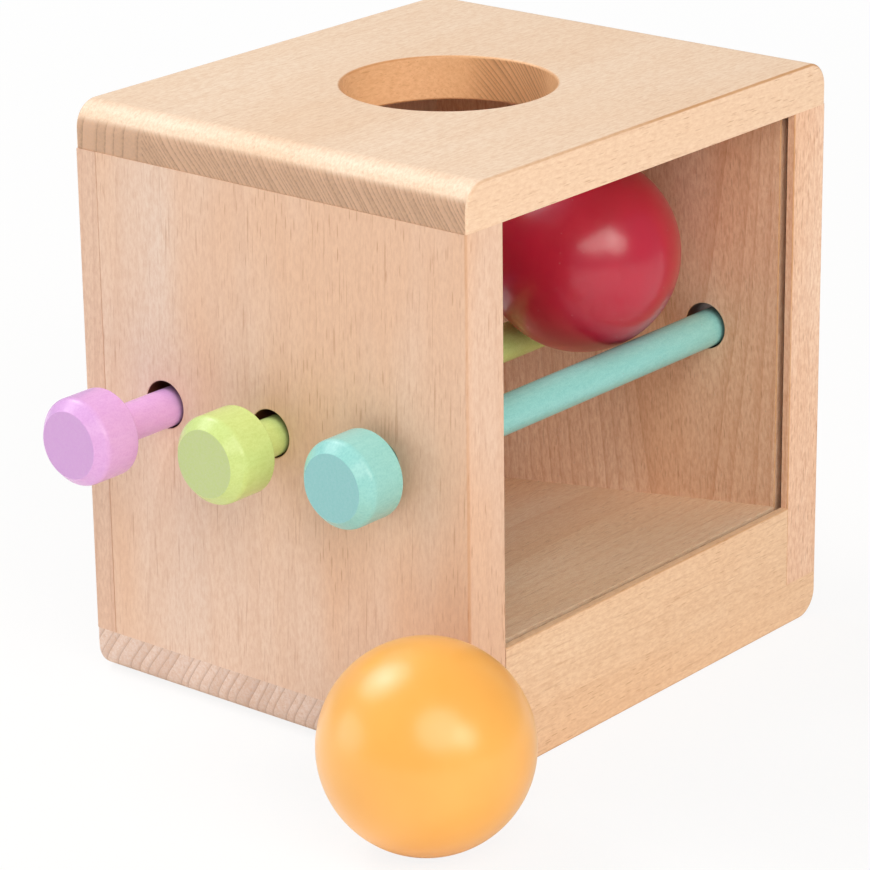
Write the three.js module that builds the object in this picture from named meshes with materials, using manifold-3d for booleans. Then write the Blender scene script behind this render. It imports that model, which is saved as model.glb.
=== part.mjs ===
import * as THREE from "three";
import { mergeVertices } from "three/addons/utils/BufferGeometryUtils.js";
import Module from "manifold-3d";

// Ball puzzle cube in millimetres. The origin is the middle of the base, +Z is up,
// the windowed front faces -Y and the knobs stand out of the left side, towards -X.

// Outside of the box
const BOX_W = 150;
const BOX_D = 128;
const BOX_H = 156;
const TOP_T = 12;
const BOTTOM_T = 12;
const SIDE_T = 14;
const BACK_T = 7;
// Round-over along the four long corners, and the sanded edges elsewhere
const CORNER_R = 9.5;
const EASE = 0.8;

// Balls, and the two openings that let them in and out
const BALL_D = 53;
const ENTRY_CLEAR = 1.5;
const ENTRY_X = -3;
const ENTRY_Y = 0;
const EXIT_SIDE_CLEAR = 4.5;
const EXIT_HEAD = 3.1;

// Rods, their loose holes and the knobs
const ROD_D = 10;
const ROD_PLAY = 2.6;
const ROD_SEAT = 0.3;
const ROD_PITCH = 36;
const ROD_MID_Y = 0;
const ROD_Z = 79.6;
const ROD_TIP_CHAMFER = 1;
const TIP_INSET = 1;
const KNOB_D = 23;
const KNOB_L = 13.5;
const KNOB_BORE_L = 9;
const KNOB_BORE_CLEAR = 0.25;
const SHOULDER_R = 2.7;
const SHOULDER_SLOPE = 43;
const SHOULDER_ROUND = 2.6;
const KNOB_BACK_R = 1.2;
const VIOLET_PULL = 21.6;
const GREEN_PULL = 10.8;
const TEAL_PULL = 4.5;

// Front rail, clear pane and the sloping floor
const RAIL_H = 22.2;
const RAIL_T = 14;
const LIP_T = 2.2;
const PANE_T = 1.8;
const PANE_SIDE_CLEAR = 0.2;
const PANE_EDGE_CLEAR = 0.3;
const GROOVE_DEEP = 3;
const SEAT_DROP = 4.4;
const RAMP_T = 6.5;
const RAMP_LAP = 0.6;
const RAMP_STEP = 0.4;
const RAMP_CLEAR = 0.3;

// Round pins that join the boards, and the wood left beyond their ends
const PIN_D = 6;
const PIN_L = 20;
const PIN_CLEAR = 0.15;
const PIN_END_CLEAR = 0.5;
const PIN_CHAMFER = 0.6;
const PIN_FROM_EDGE = 20;
const PIN_WALL = 5;
const RAIL_PIN_WALL = 4;
const RAIL_PIN_Y = 8;
const RAIL_PIN_Z = 9;

// Where the balls lie
const RED_WALL_GAP = 5;
const RED_ROD_GAP = 0.2;
const ORANGE_SIDE_GAP = 3.3;
const ORANGE_AHEAD = 10.6;

// Smoothness of round pieces
const ROUND_SEGS = 48;
const CORNER_SEGS = 10;
const PIN_SEGS = 16;
const BALL_SEGS = 44;
const BALL_RINGS = 25;

// Planes and sizes that several pieces share
const LEFT = -BOX_W / 2;
const RIGHT = BOX_W / 2;
const FRONT = -BOX_D / 2;
const BACK = BOX_D / 2;
const FLOOR_Z = BOTTOM_T;
const CEIL_Z = BOX_H - TOP_T;
const IN_LEFT = LEFT + SIDE_T;
const IN_RIGHT = RIGHT - SIDE_T;
const IN_BACK = BACK - BACK_T;
const BALL_R = BALL_D / 2;
const ROD_R = ROD_D / 2;
const HOLE_R = (ROD_D + ROD_PLAY) / 2;
const HOLE_Z = ROD_Z - ROD_R - ROD_SEAT + HOLE_R;
const ROD_YS = [ROD_MID_Y - ROD_PITCH, ROD_MID_Y, ROD_MID_Y + ROD_PITCH];
const RAIL_TOP = FLOOR_Z + RAIL_H;
const SEAT_Z = RAIL_TOP - SEAT_DROP;
const GROOVE_Y0 = FRONT + LIP_T;
const PANE_Y0 = GROOVE_Y0 + PANE_SIDE_CLEAR;
const PANE_Y1 = PANE_Y0 + PANE_T;
const GROOVE_Y1 = PANE_Y1 + PANE_SIDE_CLEAR;
const RAMP_END_H = RAMP_T - RAMP_LAP;
const PIN_R = PIN_D / 2;
const PIN_HOLE_R = PIN_R + PIN_CLEAR;
const PIN_XS = [LEFT + SIDE_T / 2, RIGHT - SIDE_T / 2];
const PIN_YS = [FRONT + PIN_FROM_EDGE, IN_BACK - PIN_FROM_EDGE];
const PIN_IN_TOP = TOP_T - PIN_WALL;
const PIN_IN_BOTTOM = BOTTOM_T - PIN_WALL;
const RAIL_PIN_IN_SIDE = SIDE_T - RAIL_PIN_WALL;
const RAIL_PIN_AT = [FRONT + RAIL_PIN_Y, FLOOR_Z + RAIL_PIN_Z];
// How far a cutting shape runs past the face it opens
const PAST = 1;

const wasm = await Module();
wasm.setup();

// A closed three.js surface as a solid
function solidOf(geometry) {
  const bare = geometry.index ? geometry.toNonIndexed() : geometry.clone();
  bare.deleteAttribute("normal");
  bare.deleteAttribute("uv");
  const merged = mergeVertices(bare, 1e-4);
  const triVerts = new Uint32Array(merged.index.array);
  const vertProperties = new Float32Array(merged.attributes.position.array);
  return new wasm.Manifold(new wasm.Mesh({ numProp: 3, vertProperties, triVerts }));
}

// A solid back as a three.js surface
function surfaceOf(solid) {
  const mesh = solid.getMesh();
  const position = new Float32Array(mesh.numVert * 3);
  for (let i = 0; i < mesh.numVert; i += 1) {
    for (let k = 0; k < 3; k += 1) {
      position[i * 3 + k] = mesh.vertProperties[i * mesh.numProp + k];
    }
  }
  const geometry = new THREE.BufferGeometry();
  geometry.setAttribute("position", new THREE.BufferAttribute(position, 3));
  geometry.setIndex(new THREE.BufferAttribute(new Uint32Array(mesh.triVerts), 1));
  return geometry;
}

// A piece with other shapes cut out of it
function cut(geometry, tools) {
  const body = tools.reduce((solid, tool) => solid.subtract(solidOf(tool)), solidOf(geometry));
  return surfaceOf(body);
}

// A box between two corners
function block(x0, x1, y0, y1, z0, z1) {
  const geometry = new THREE.BoxGeometry(x1 - x0, y1 - y0, z1 - z0);
  return geometry.translate((x0 + x1) / 2, (y0 + y1) / 2, (z0 + z1) / 2);
}

// A round bar of the given length, starting at a point and running along +X or +Z
function bar(axis, [x, y, z], radius, length, segs = ROUND_SEGS) {
  const geometry = new THREE.CylinderGeometry(radius, radius, length, segs);
  geometry.translate(0, length / 2, 0);
  if (axis === "x") geometry.rotateZ(-Math.PI / 2);
  if (axis === "z") geometry.rotateX(Math.PI / 2);
  return geometry.translate(x, y, z);
}

// A right-angled outline, drawn anticlockwise, each corner given as u, v and its radius
function outline(corners) {
  const points = [];
  corners.forEach(([u, v, radius], i) => {
    const here = new THREE.Vector2(u, v);
    if (!radius) {
      points.push(here);
      return;
    }
    const before = corners[(i + corners.length - 1) % corners.length];
    const after = corners[(i + 1) % corners.length];
    const toBefore = new THREE.Vector2(before[0], before[1]).sub(here).normalize();
    const toAfter = new THREE.Vector2(after[0], after[1]).sub(here).normalize();
    const segs = radius > EASE ? CORNER_SEGS : 2;
    for (let k = 0; k <= segs; k += 1) {
      const angle = (k / segs) * (Math.PI / 2);
      const point = here.clone();
      point.addScaledVector(toBefore, radius * (1 - Math.sin(angle)));
      point.addScaledVector(toAfter, radius * (1 - Math.cos(angle)));
      points.push(point);
    }
  });
  return points;
}

// A prism whose outline lies in X and Z, from y0 to y1, with eased ends
function prismAlongY(points, y0, y1, ease) {
  const geometry = new THREE.ExtrudeGeometry(new THREE.Shape(points), {
    depth: y1 - y0 - 2 * ease,
    bevelThickness: ease,
    bevelSize: ease,
    bevelOffset: -ease,
    bevelSegments: 2,
  });
  geometry.rotateX(Math.PI / 2);
  return geometry.translate(0, y1 - ease, 0);
}

// A prism whose outline lies in X and Y, from z0 to z1
function prismAlongZ(points, z0, z1) {
  const options = { depth: z1 - z0, bevelEnabled: false };
  return new THREE.ExtrudeGeometry(new THREE.Shape(points), options).translate(0, 0, z0);
}

// A prism whose outline lies in Y and Z, from x0 to x1
function prismAlongX(points, x0, x1) {
  const options = { depth: x1 - x0, bevelEnabled: false };
  const geometry = new THREE.ExtrudeGeometry(new THREE.Shape(points), options);
  geometry.rotateZ(Math.PI / 2);
  geometry.rotateY(Math.PI / 2);
  return geometry.translate(x0, 0, 0);
}

// A piece turned round +X, its outline given as pairs of distance along X and radius
function turned(pairs, segs = ROUND_SEGS) {
  const profile = pairs.map(([along, radius]) => new THREE.Vector2(radius, along));
  return new THREE.LatheGeometry(profile, segs).rotateZ(-Math.PI / 2);
}

// One named piece in a group, with its own wood or paint
function piece(group, name, geometry, color, roughness) {
  const material = new THREE.MeshStandardMaterial({ color, roughness, metalness: 0 });
  const mesh = new THREE.Mesh(geometry, material);
  mesh.name = name;
  group.add(mesh);
  return mesh;
}

const part = new THREE.Group();
const box = new THREE.Group();
part.add(box);

// Holes for the upright pins, opening at z, above it or below it
function pinHoles(xs, z, depth) {
  const z0 = depth > 0 ? z - PAST : z + depth;
  const places = xs.flatMap((x) => PIN_YS.map((y) => [x, y, z0]));
  return places.map((at) => bar("z", at, PIN_HOLE_R, Math.abs(depth) + PAST, PIN_SEGS));
}

// Top board, with the entry hole and the groove that holds the pane's upper edge
function topBoard() {
  const cornerR = Math.min(CORNER_R, TOP_T - EASE);
  const section = outline([
    [LEFT, CEIL_Z, EASE],
    [RIGHT, CEIL_Z, EASE],
    [RIGHT, BOX_H, cornerR],
    [LEFT, BOX_H, cornerR],
  ]);
  const entryR = BALL_D / 2 + ENTRY_CLEAR;
  const grooveX0 = IN_LEFT - GROOVE_DEEP;
  const grooveX1 = IN_RIGHT + GROOVE_DEEP;
  const cuts = [
    bar("z", [ENTRY_X, ENTRY_Y, CEIL_Z - PAST], entryR, TOP_T + 2 * PAST),
    block(grooveX0, grooveX1, GROOVE_Y0, GROOVE_Y1, CEIL_Z - PAST, CEIL_Z + GROOVE_DEEP),
    ...pinHoles(PIN_XS, CEIL_Z, PIN_IN_TOP),
  ];
  return cut(prismAlongY(section, FRONT, BACK, EASE), cuts);
}
piece(box, "top_board", topBoard(), "#f0d2ac", 0.55);

// Bottom board
function bottomBoard() {
  const cornerR = Math.min(CORNER_R, BOTTOM_T - EASE);
  const section = outline([
    [LEFT, 0, cornerR],
    [RIGHT, 0, cornerR],
    [RIGHT, FLOOR_Z, EASE],
    [LEFT, FLOOR_Z, EASE],
  ]);
  return cut(prismAlongY(section, FRONT, BACK, EASE), pinHoles(PIN_XS, FLOOR_Z, -PIN_IN_BOTTOM));
}
piece(box, "bottom_board", bottomBoard(), "#ecc9a2", 0.55);

// Side board, with the rod holes, the groove for the pane and the pin holes
function sideBoard(outX, inX) {
  const [x0, x1] = [Math.min(outX, inX), Math.max(outX, inX)];
  const inward = Math.sign(inX - outX);
  const easeAt = (x) => (x === outX ? EASE : EASE / 2);
  const plan = outline([
    [x0, FRONT, easeAt(x0)],
    [x1, FRONT, easeAt(x1)],
    [x1, IN_BACK, 0],
    [x0, IN_BACK, 0],
  ]);
  const grooveXs = [inX - inward * GROOVE_DEEP, inX + inward * PAST].sort((a, b) => a - b);
  const railPinXs = [inX - inward * RAIL_PIN_IN_SIDE, inX + inward * PAST].sort((a, b) => a - b);
  const railPinL = railPinXs[1] - railPinXs[0];
  const midX = [(x0 + x1) / 2];
  const cuts = [
    ...ROD_YS.map((y) => bar("x", [x0 - PAST, y, HOLE_Z], HOLE_R, SIDE_T + 2 * PAST)),
    block(...grooveXs, GROOVE_Y0, GROOVE_Y1, SEAT_Z, CEIL_Z + PAST),
    bar("x", [railPinXs[0], ...RAIL_PIN_AT], PIN_HOLE_R, railPinL, PIN_SEGS),
    ...pinHoles(midX, CEIL_Z, -(PIN_L - PIN_IN_TOP + PIN_END_CLEAR)),
    ...pinHoles(midX, FLOOR_Z, PIN_L - PIN_IN_BOTTOM + PIN_END_CLEAR),
  ];
  return cut(prismAlongZ(plan, FLOOR_Z, CEIL_Z), cuts);
}
piece(box, "left_board", sideBoard(LEFT, IN_LEFT), "#ebcaa8", 0.55);
piece(box, "right_board", sideBoard(RIGHT, IN_RIGHT), "#e9c7a2", 0.55);

// Back board, arched from below where the ball rolls out
function backBoard() {
  const archR = BALL_R + EXIT_SIDE_CLEAR;
  const springZ = FLOOR_Z + RAMP_END_H + BALL_D + EXIT_HEAD - archR;
  const arch = new THREE.EllipseCurve(0, springZ, archR, archR, Math.PI, 0, true);
  const points = [
    new THREE.Vector2(LEFT, FLOOR_Z),
    new THREE.Vector2(-archR, FLOOR_Z),
    ...arch.getPoints(ROUND_SEGS / 2),
    new THREE.Vector2(archR, FLOOR_Z),
    new THREE.Vector2(RIGHT, FLOOR_Z),
    new THREE.Vector2(RIGHT, CEIL_Z),
    new THREE.Vector2(LEFT, CEIL_Z),
  ];
  return prismAlongY(points, IN_BACK, BACK, EASE / 2);
}
piece(box, "back_board", backBoard(), "#ebcba6", 0.55);

// Front rail: a lip in front of the pane, and a seat behind it for the pane and the floor
function frontRail() {
  const section = outline([
    [FRONT, FLOOR_Z, 0],
    [FRONT + RAIL_T, FLOOR_Z, 0],
    [FRONT + RAIL_T, SEAT_Z, 0],
    [GROOVE_Y0, SEAT_Z, 0],
    [GROOVE_Y0, RAIL_TOP, EASE / 4],
    [FRONT, RAIL_TOP, EASE / 2],
  ]);
  const inRail = PIN_L - RAIL_PIN_IN_SIDE + PIN_END_CLEAR;
  const holeXs = [IN_LEFT - PAST, IN_RIGHT - inRail];
  const holes = holeXs.map((x) => bar("x", [x, ...RAIL_PIN_AT], PIN_HOLE_R, inRail + PAST, PIN_SEGS));
  return cut(prismAlongX(section, IN_LEFT, IN_RIGHT), holes);
}
piece(box, "front_rail", frontRail(), "#f0cca0", 0.55);

// Clear pane, standing on the rail's seat and held in the grooves on its other three edges
const paneReach = GROOVE_DEEP - PANE_EDGE_CLEAR;
const paneX = IN_RIGHT + paneReach;
const paneShape = block(-paneX, paneX, PANE_Y0, PANE_Y1, SEAT_Z, CEIL_Z + paneReach);
const pane = piece(box, "front_pane", paneShape, "#f4f7f8", 0.05);
pane.material.transparent = true;
pane.material.opacity = 0.18;

// Sloping floor, notched over the rail's seat and planed level where it lies on the bottom board
function rampBoard() {
  const frontY = PANE_Y1 + RAMP_CLEAR;
  const notchY = FRONT + RAIL_T + RAMP_CLEAR;
  const frontZ = RAIL_TOP - RAMP_STEP;
  const endZ = FLOOR_Z + RAMP_END_H;
  const slope = (frontZ - endZ) / (IN_BACK - frontY);
  const points = [
    new THREE.Vector2(frontY, SEAT_Z),
    new THREE.Vector2(notchY, SEAT_Z),
    new THREE.Vector2(notchY, frontZ - slope * (notchY - frontY) - RAMP_T),
    new THREE.Vector2(IN_BACK - RAMP_LAP / slope, FLOOR_Z),
    new THREE.Vector2(IN_BACK, FLOOR_Z),
    new THREE.Vector2(IN_BACK, endZ),
    new THREE.Vector2(frontY, frontZ),
  ];
  return prismAlongX(points, IN_LEFT, IN_RIGHT);
}
piece(box, "ramp_board", rampBoard(), "#dcb48c", 0.55);

// Chamfered pins between the side boards and the top and bottom, and at the rail's ends
function pin(name, x, y, z, upright) {
  const pairs = [
    [0, 0],
    [0, PIN_R - PIN_CHAMFER],
    [PIN_CHAMFER, PIN_R],
    [PIN_L - PIN_CHAMFER, PIN_R],
    [PIN_L, PIN_R - PIN_CHAMFER],
    [PIN_L, 0],
  ];
  const mesh = piece(box, name, turned(pairs, PIN_SEGS), "#e2c59c", 0.7);
  mesh.position.set(x, y, z);
  if (upright) mesh.rotation.y = -Math.PI / 2;
}
["left", "right"].forEach((side, i) => {
  ["front", "rear"].forEach((end, k) => {
    const x = PIN_XS[i];
    const y = PIN_YS[k];
    pin("top_pin_" + side + "_" + end, x, y, CEIL_Z + PIN_IN_TOP - PIN_L, true);
    pin("bottom_pin_" + side + "_" + end, x, y, FLOOR_Z - PIN_IN_BOTTOM, true);
  });
});
pin("rail_pin_left", IN_LEFT - RAIL_PIN_IN_SIDE, ...RAIL_PIN_AT, false);
pin("rail_pin_right", IN_RIGHT + RAIL_PIN_IN_SIDE - PIN_L, ...RAIL_PIN_AT, false);

// Rod with a flat end for the knob and a chamfered tip
function rodShape() {
  const length = BOX_W - TIP_INSET + KNOB_BORE_L;
  return turned([
    [0, 0],
    [0, ROD_R],
    [length - ROD_TIP_CHAMFER, ROD_R],
    [length, ROD_R - ROD_TIP_CHAMFER],
    [length, 0],
  ]);
}

// Knob with a flat end, a sloping shoulder that rounds into the side, a small round at the back
// and a blind bore
function knobShape() {
  const knobR = KNOB_D / 2;
  const boreR = ROD_R + KNOB_BORE_CLEAR;
  const flatR = knobR - SHOULDER_R;
  const rearX = KNOB_L - KNOB_BACK_R;
  const rearR = knobR - KNOB_BACK_R;
  const quarter = Math.PI / 2;
  const slope = THREE.MathUtils.degToRad(SHOULDER_SLOPE);
  const roundRise = SHOULDER_ROUND * (1 - Math.cos(slope));
  const shoulderL = (SHOULDER_R - roundRise) / Math.tan(slope) + SHOULDER_ROUND * Math.sin(slope);
  const roundR = knobR - SHOULDER_ROUND;
  const shoulder = new THREE.EllipseCurve(
    shoulderL,
    roundR,
    SHOULDER_ROUND,
    SHOULDER_ROUND,
    quarter + slope,
    quarter,
    true,
  );
  const rear = new THREE.EllipseCurve(rearX, rearR, KNOB_BACK_R, KNOB_BACK_R, quarter, 0, true);
  const rounds = [...shoulder.getPoints(6), ...rear.getPoints(4)].map((point) => [point.x, point.y]);
  const boreEnd = KNOB_L - KNOB_BORE_L;
  return turned([[0, 0], [0, flatR], ...rounds, [KNOB_L, boreR], [boreEnd, boreR], [boreEnd, 0]]);
}

// Each rod and its knob, drawn out of the left side by its own pull
function rodAndKnob(colour, y, pull, paint) {
  const drawn = new THREE.Group();
  drawn.position.set(LEFT - pull, y, ROD_Z);
  part.add(drawn);
  piece(drawn, colour + "_rod", rodShape(), paint, 0.4).position.x = -KNOB_BORE_L;
  piece(drawn, colour + "_knob", knobShape(), paint, 0.35).position.x = -KNOB_L;
}
rodAndKnob("teal", ROD_YS[0], TEAL_PULL, "#8fd6c8");
rodAndKnob("green", ROD_YS[1], GREEN_PULL, "#c6df78");
rodAndKnob("violet", ROD_YS[2], VIOLET_PULL, "#d99bdc");

// Red ball lying on the two front rods, orange ball on the table by the front left corner
function ball(name, x, y, z, paint) {
  const geometry = new THREE.SphereGeometry(BALL_R, BALL_SEGS, BALL_RINGS);
  piece(part, name, geometry, paint, 0.3).position.set(x, y, z);
}
const redReach = BALL_R + ROD_R + RED_ROD_GAP;
const redRise = Math.sqrt(redReach ** 2 - (ROD_PITCH / 2) ** 2);
ball("red_ball", IN_RIGHT - BALL_R - RED_WALL_GAP, ROD_MID_Y - ROD_PITCH / 2, ROD_Z + redRise, "#b91f3a");
ball("orange_ball", LEFT - BALL_R - ORANGE_SIDE_GAP, FRONT - ORANGE_AHEAD, BALL_R, "#f5a93f");

export default part;
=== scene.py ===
import math

import bmesh
import bpy
from mathutils import Euler, Matrix, Vector


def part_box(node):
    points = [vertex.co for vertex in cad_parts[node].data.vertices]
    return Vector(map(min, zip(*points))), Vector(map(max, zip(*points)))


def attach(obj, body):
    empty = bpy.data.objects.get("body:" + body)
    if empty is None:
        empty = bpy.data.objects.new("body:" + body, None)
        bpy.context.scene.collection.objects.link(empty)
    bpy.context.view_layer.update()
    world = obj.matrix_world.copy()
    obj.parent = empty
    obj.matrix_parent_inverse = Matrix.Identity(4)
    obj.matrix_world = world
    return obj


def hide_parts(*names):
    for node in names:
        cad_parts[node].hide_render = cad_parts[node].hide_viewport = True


# A wooden ball puzzle cube: a beech box with a clear front, three painted rods that carry a ball,
# and a second ball on the table. Metres, +Z up, the window towards -Y and the knobs towards -X.

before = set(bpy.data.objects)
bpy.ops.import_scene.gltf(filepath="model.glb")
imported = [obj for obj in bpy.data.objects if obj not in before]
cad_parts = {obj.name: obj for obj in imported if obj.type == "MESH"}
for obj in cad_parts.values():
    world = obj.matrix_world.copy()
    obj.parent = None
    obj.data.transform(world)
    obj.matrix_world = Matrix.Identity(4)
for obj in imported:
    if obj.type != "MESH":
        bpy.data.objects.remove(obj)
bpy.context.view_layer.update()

MM = 0.001

# Sizes that the boxes of the nodes don't give, in metres where no other unit is named
CORNER_R = 7.0 * MM
EASE = 0.8 * MM
SMALL_EASE = EASE / 2
JOINT_EASE = 0.3 * MM
TOP_INSET = 0.25 * MM  # shows the eased edge of the side boards under the top
ENTRY_R = 28.0 * MM
ENTRY_X = -3.0 * MM
ENTRY_Y = 0.0
ENTRY_EASE = 0.7 * MM
HOLE_R = 6.3 * MM
HOLE_EASE = 0.35 * MM
ROD_SEAT = 0.3 * MM  # between a rod and the lowest line of its hole
ROD_TIP_R = 1.0 * MM
KNOB_BORE_R = 5.25 * MM
KNOB_BORE_L = 9.0 * MM
SHOULDER_R = 2.7 * MM
SHOULDER_ROUND = 2.6 * MM
SHOULDER_SLOPE = 43  # degrees
SHOULDER_EDGE = 0.3 * MM
KNOB_BACK_R = 0.5 * MM
ARCH_R = 31.0 * MM
ARCH_TOP = 74.0 * MM
PANE_PLAY = 0.2 * MM
PANE_EASE = 0.15 * MM
GROOVE_DEEP = 3.0 * MM
PIN_HOLE_R = 3.15 * MM
PIN_HOLE_END = 0.5 * MM
RAMP_T = 6.5 * MM
RAMP_LAP = 0.6 * MM
RAMP_NOTCH = 0.3 * MM
POLE_FLAT_R = 1.2 * MM  # the small flats where the lathe held a ball
PAST = 1.0 * MM  # how far a cutter stands out of what it cuts
ALIKE = 0.02 * MM  # planes closer than this count as one
STRAIGHT = 0.9  # cosine from which an edge runs along an axis

# Steps round turned pieces, along the curves of their profiles and across eased edges
TURN_STEPS = 96
WIDE_TURN_STEPS = 128
BALL_STEPS = 160
HOLE_STEPS = 64
PIN_HOLE_STEPS = 24
ARCH_STEPS = 48
RIM_STEPS = 4
TIP_STEPS = 5
KNOB_BACK_STEPS = 6
SHOULDER_STEPS = 8
ROUND_STEPS = 18
EASE_STEPS = 4
SMALL_EASE_STEPS = 3
FINE_STEPS = 2

SHARP_FROM = 40  # degrees between faces that stay a crisp edge

# Planes of the box, from the frame
top_low, top_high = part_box("top_board")
bottom_low, bottom_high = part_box("bottom_board")
back_low, back_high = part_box("back_board")
rail_low, rail_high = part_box("front_rail")
pane_low, pane_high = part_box("front_pane")
ramp_low, ramp_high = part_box("ramp_board")
groove_low_y = pane_low.y - PANE_PLAY
groove_high_y = pane_high.y + PANE_PLAY
RODS = ("teal", "green", "violet")
rod_places = {}
for colour in RODS:
    rod_low, rod_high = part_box(colour + "_rod")
    middle = (rod_low + rod_high) / 2
    radius = (rod_high.z - rod_low.z) / 2
    rod_places[colour] = (middle.y, middle.z, radius)
rod_pitch = rod_places["green"][0] - rod_places["teal"][0]
hole_z = rod_places["green"][1] - rod_places["green"][2] - ROD_SEAT + HOLE_R

# Turns that lay a lathe's upright axis along each axis
ALONG = {
    "x": Matrix.Rotation(math.radians(90), 4, "Y"),
    "y": Matrix.Rotation(math.radians(-90), 4, "X"),
    "z": Matrix.Identity(4),
}


def linear(hex_colour):
    """An sRGB hex colour as linear RGBA."""
    shares = [int(hex_colour[i : i + 2], 16) / 255 for i in (1, 3, 5)]
    return [s / 12.92 if s <= 0.04045 else ((s + 0.055) / 1.055) ** 2.4 for s in shares] + [1.0]


# Shapes


def plank(low, high):
    """A square-edged board between two corners."""
    shape = bmesh.new()
    bmesh.ops.create_cube(shape, size=1.0)
    bmesh.ops.scale(shape, vec=Vector(high) - Vector(low), verts=shape.verts)
    bmesh.ops.translate(shape, vec=(Vector(low) + Vector(high)) / 2, verts=shape.verts)
    return shape


def soften(shape, radius, segments, wanted):
    """Rounds the edges whose middle and direction the test picks."""
    picked = []
    for edge in shape.edges:
        a, b = (v.co for v in edge.verts)
        if wanted((a + b) / 2, (b - a).normalized()):
            picked.append(edge)
    bmesh.ops.bevel(
        shape,
        geom=picked,
        offset=radius,
        offset_type="OFFSET",
        segments=segments,
        profile=0.5,
        affect="EDGES",
        material=-1,
        clamp_overlap=True,
    )


def near(a, b):
    """Whether two planes are one."""
    return abs(a - b) < ALIKE


def runs_along(direction, axis):
    """Whether an edge runs along an axis."""
    return abs(getattr(direction, axis)) > STRAIGHT


def turned(profile, start, axis, steps=TURN_STEPS):
    """A piece turned round an axis from start, its profile given as distance along and radius."""
    shape = bmesh.new()
    verts = [shape.verts.new((radius, 0, along)) for along, radius in profile]
    edges = [shape.edges.new(pair) for pair in zip(verts, verts[1:])]
    bmesh.ops.spin(
        shape,
        geom=verts + edges,
        cent=(0, 0, 0),
        axis=(0, 0, 1),
        dvec=(0, 0, 0),
        angle=math.tau,
        steps=steps,
        use_merge=True,
    )
    bmesh.ops.remove_doubles(shape, verts=shape.verts, dist=1e-7)
    bmesh.ops.recalc_face_normals(shape, faces=shape.faces)
    bmesh.ops.transform(shape, matrix=Matrix.Translation(start) @ ALONG[axis], verts=shape.verts)
    return shape


def arc_points(centre, along_r, across_r, start, stop, steps):
    """Points of an ellipse in a profile, between two angles in degrees."""
    points = []
    for k in range(steps + 1):
        angle = math.radians(start + (stop - start) * k / steps)
        points.append((centre[0] + along_r * math.cos(angle), centre[1] + across_r * math.sin(angle)))
    return points


def drill(start, axis, radius, length, ease, steps):
    """A round cutter that leaves eased rims at both ends of its length."""
    rim_r = radius + ease
    low_rim = arc_points((ease, rim_r), ease, ease, 180, 270, RIM_STEPS)
    high_rim = arc_points((length - ease, rim_r), ease, ease, 270, 360, RIM_STEPS)
    end = length + PAST
    profile = [(-PAST, 0), (-PAST, rim_r), *low_rim, *high_rim, (end, rim_r), (end, 0)]
    return turned(profile, start, axis, steps)


def bore(start, axis, radius, length):
    """A plain blind or through cutter."""
    profile = [(0, 0), (0, radius), (length, radius), (length, 0)]
    return turned(profile, start, axis, PIN_HOLE_STEPS)


def sawn(outline, axis, low, high):
    """A bar with the given outline, in the plane across x or z, from low to high."""
    shape = bmesh.new()
    if axis == "x":
        verts = [shape.verts.new((low, u, v)) for u, v in outline]
        step = Vector((high - low, 0, 0))
    else:
        verts = [shape.verts.new((u, v, low)) for u, v in outline]
        step = Vector((0, 0, high - low))
    face = shape.faces.new(verts)
    grown = bmesh.ops.extrude_face_region(shape, geom=[face])
    moved = [g for g in grown["geom"] if isinstance(g, bmesh.types.BMVert)]
    bmesh.ops.translate(shape, vec=step, verts=moved)
    bmesh.ops.recalc_face_normals(shape, faces=shape.faces)
    return shape


def as_object(name, shape):
    """A shape as an object at the origin."""
    mesh = bpy.data.meshes.new(name)
    shape.to_mesh(mesh)
    shape.free()
    thing = bpy.data.objects.new(name, mesh)
    bpy.context.scene.collection.objects.link(thing)
    return thing


def carve(shape, cutters):
    """The shape with cutters taken out of it."""
    blank = as_object("blank", shape)
    tools = [as_object("cutter", cutter) for cutter in cutters]
    for tool in tools:
        cut = blank.modifiers.new("cut", "BOOLEAN")
        cut.operation = "DIFFERENCE"
        cut.solver = "EXACT"
        cut.object = tool
    bpy.context.view_layer.update()
    done = blank.evaluated_get(bpy.context.evaluated_depsgraph_get())
    result = bmesh.new()
    result.from_mesh(done.data)
    for thing in [blank, *tools]:
        mesh = thing.data
        bpy.data.objects.remove(thing)
        bpy.data.meshes.remove(mesh)
    return result


def finish_piece(name, shape, node, body, material):
    """Stands a shape in for a CAD node on its body, with smooth rounds and flat faces."""
    thing = as_object(name, shape)
    for face in thing.data.polygons:
        face.use_smooth = True
    thing.data.set_sharp_from_angle(angle=math.radians(SHARP_FROM))
    even = thing.modifiers.new("even_faces", "WEIGHTED_NORMAL")
    even.mode = "FACE_AREA"
    even.keep_sharp = True
    thing.data.materials.append(material)
    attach(thing, body)
    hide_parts(node)


# Materials


def new_material(name):
    """A material with no nodes yet."""
    material = bpy.data.materials.new(name)
    material.use_nodes = True
    material.node_tree.nodes.clear()
    return material


def add(material, kind, sockets=(), **settings):
    """Adds a node, with its settings and its sockets given as values or as outputs to link."""
    tree = material.node_tree
    node = tree.nodes.new(kind)
    for key, value in settings.items():
        setattr(node, key, value)
    for key, value in dict(sockets).items():
        if isinstance(value, bpy.types.NodeSocket):
            tree.links.new(value, node.inputs[key])
        else:
            node.inputs[key].default_value = value
    return node


GRAIN_TURN = {"x": Euler((0, math.radians(90), 0)), "z": Euler((0, 0, 0))}
GRAIN_AXIS = {"x": (1, 0, 0), "z": (0, 0, 1)}
EDGE_ACROSS = {"x": "Z", "z": "X"}  # the other face at a board's long eased edges
# Painted warm shade, multiplied into the wall of the entry bore
BORE_WARM_SHADE = "#FDE6C8"
# Painted shade, multiplied into the rod holes
ROD_HOLE_SHADE = "#6A4632"


def line_thinness(ring):
    """The power that thins the dark line in each ring, so that wide rings keep thin lines."""
    return 1.2 + 1.5 * ring / MM


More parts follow.
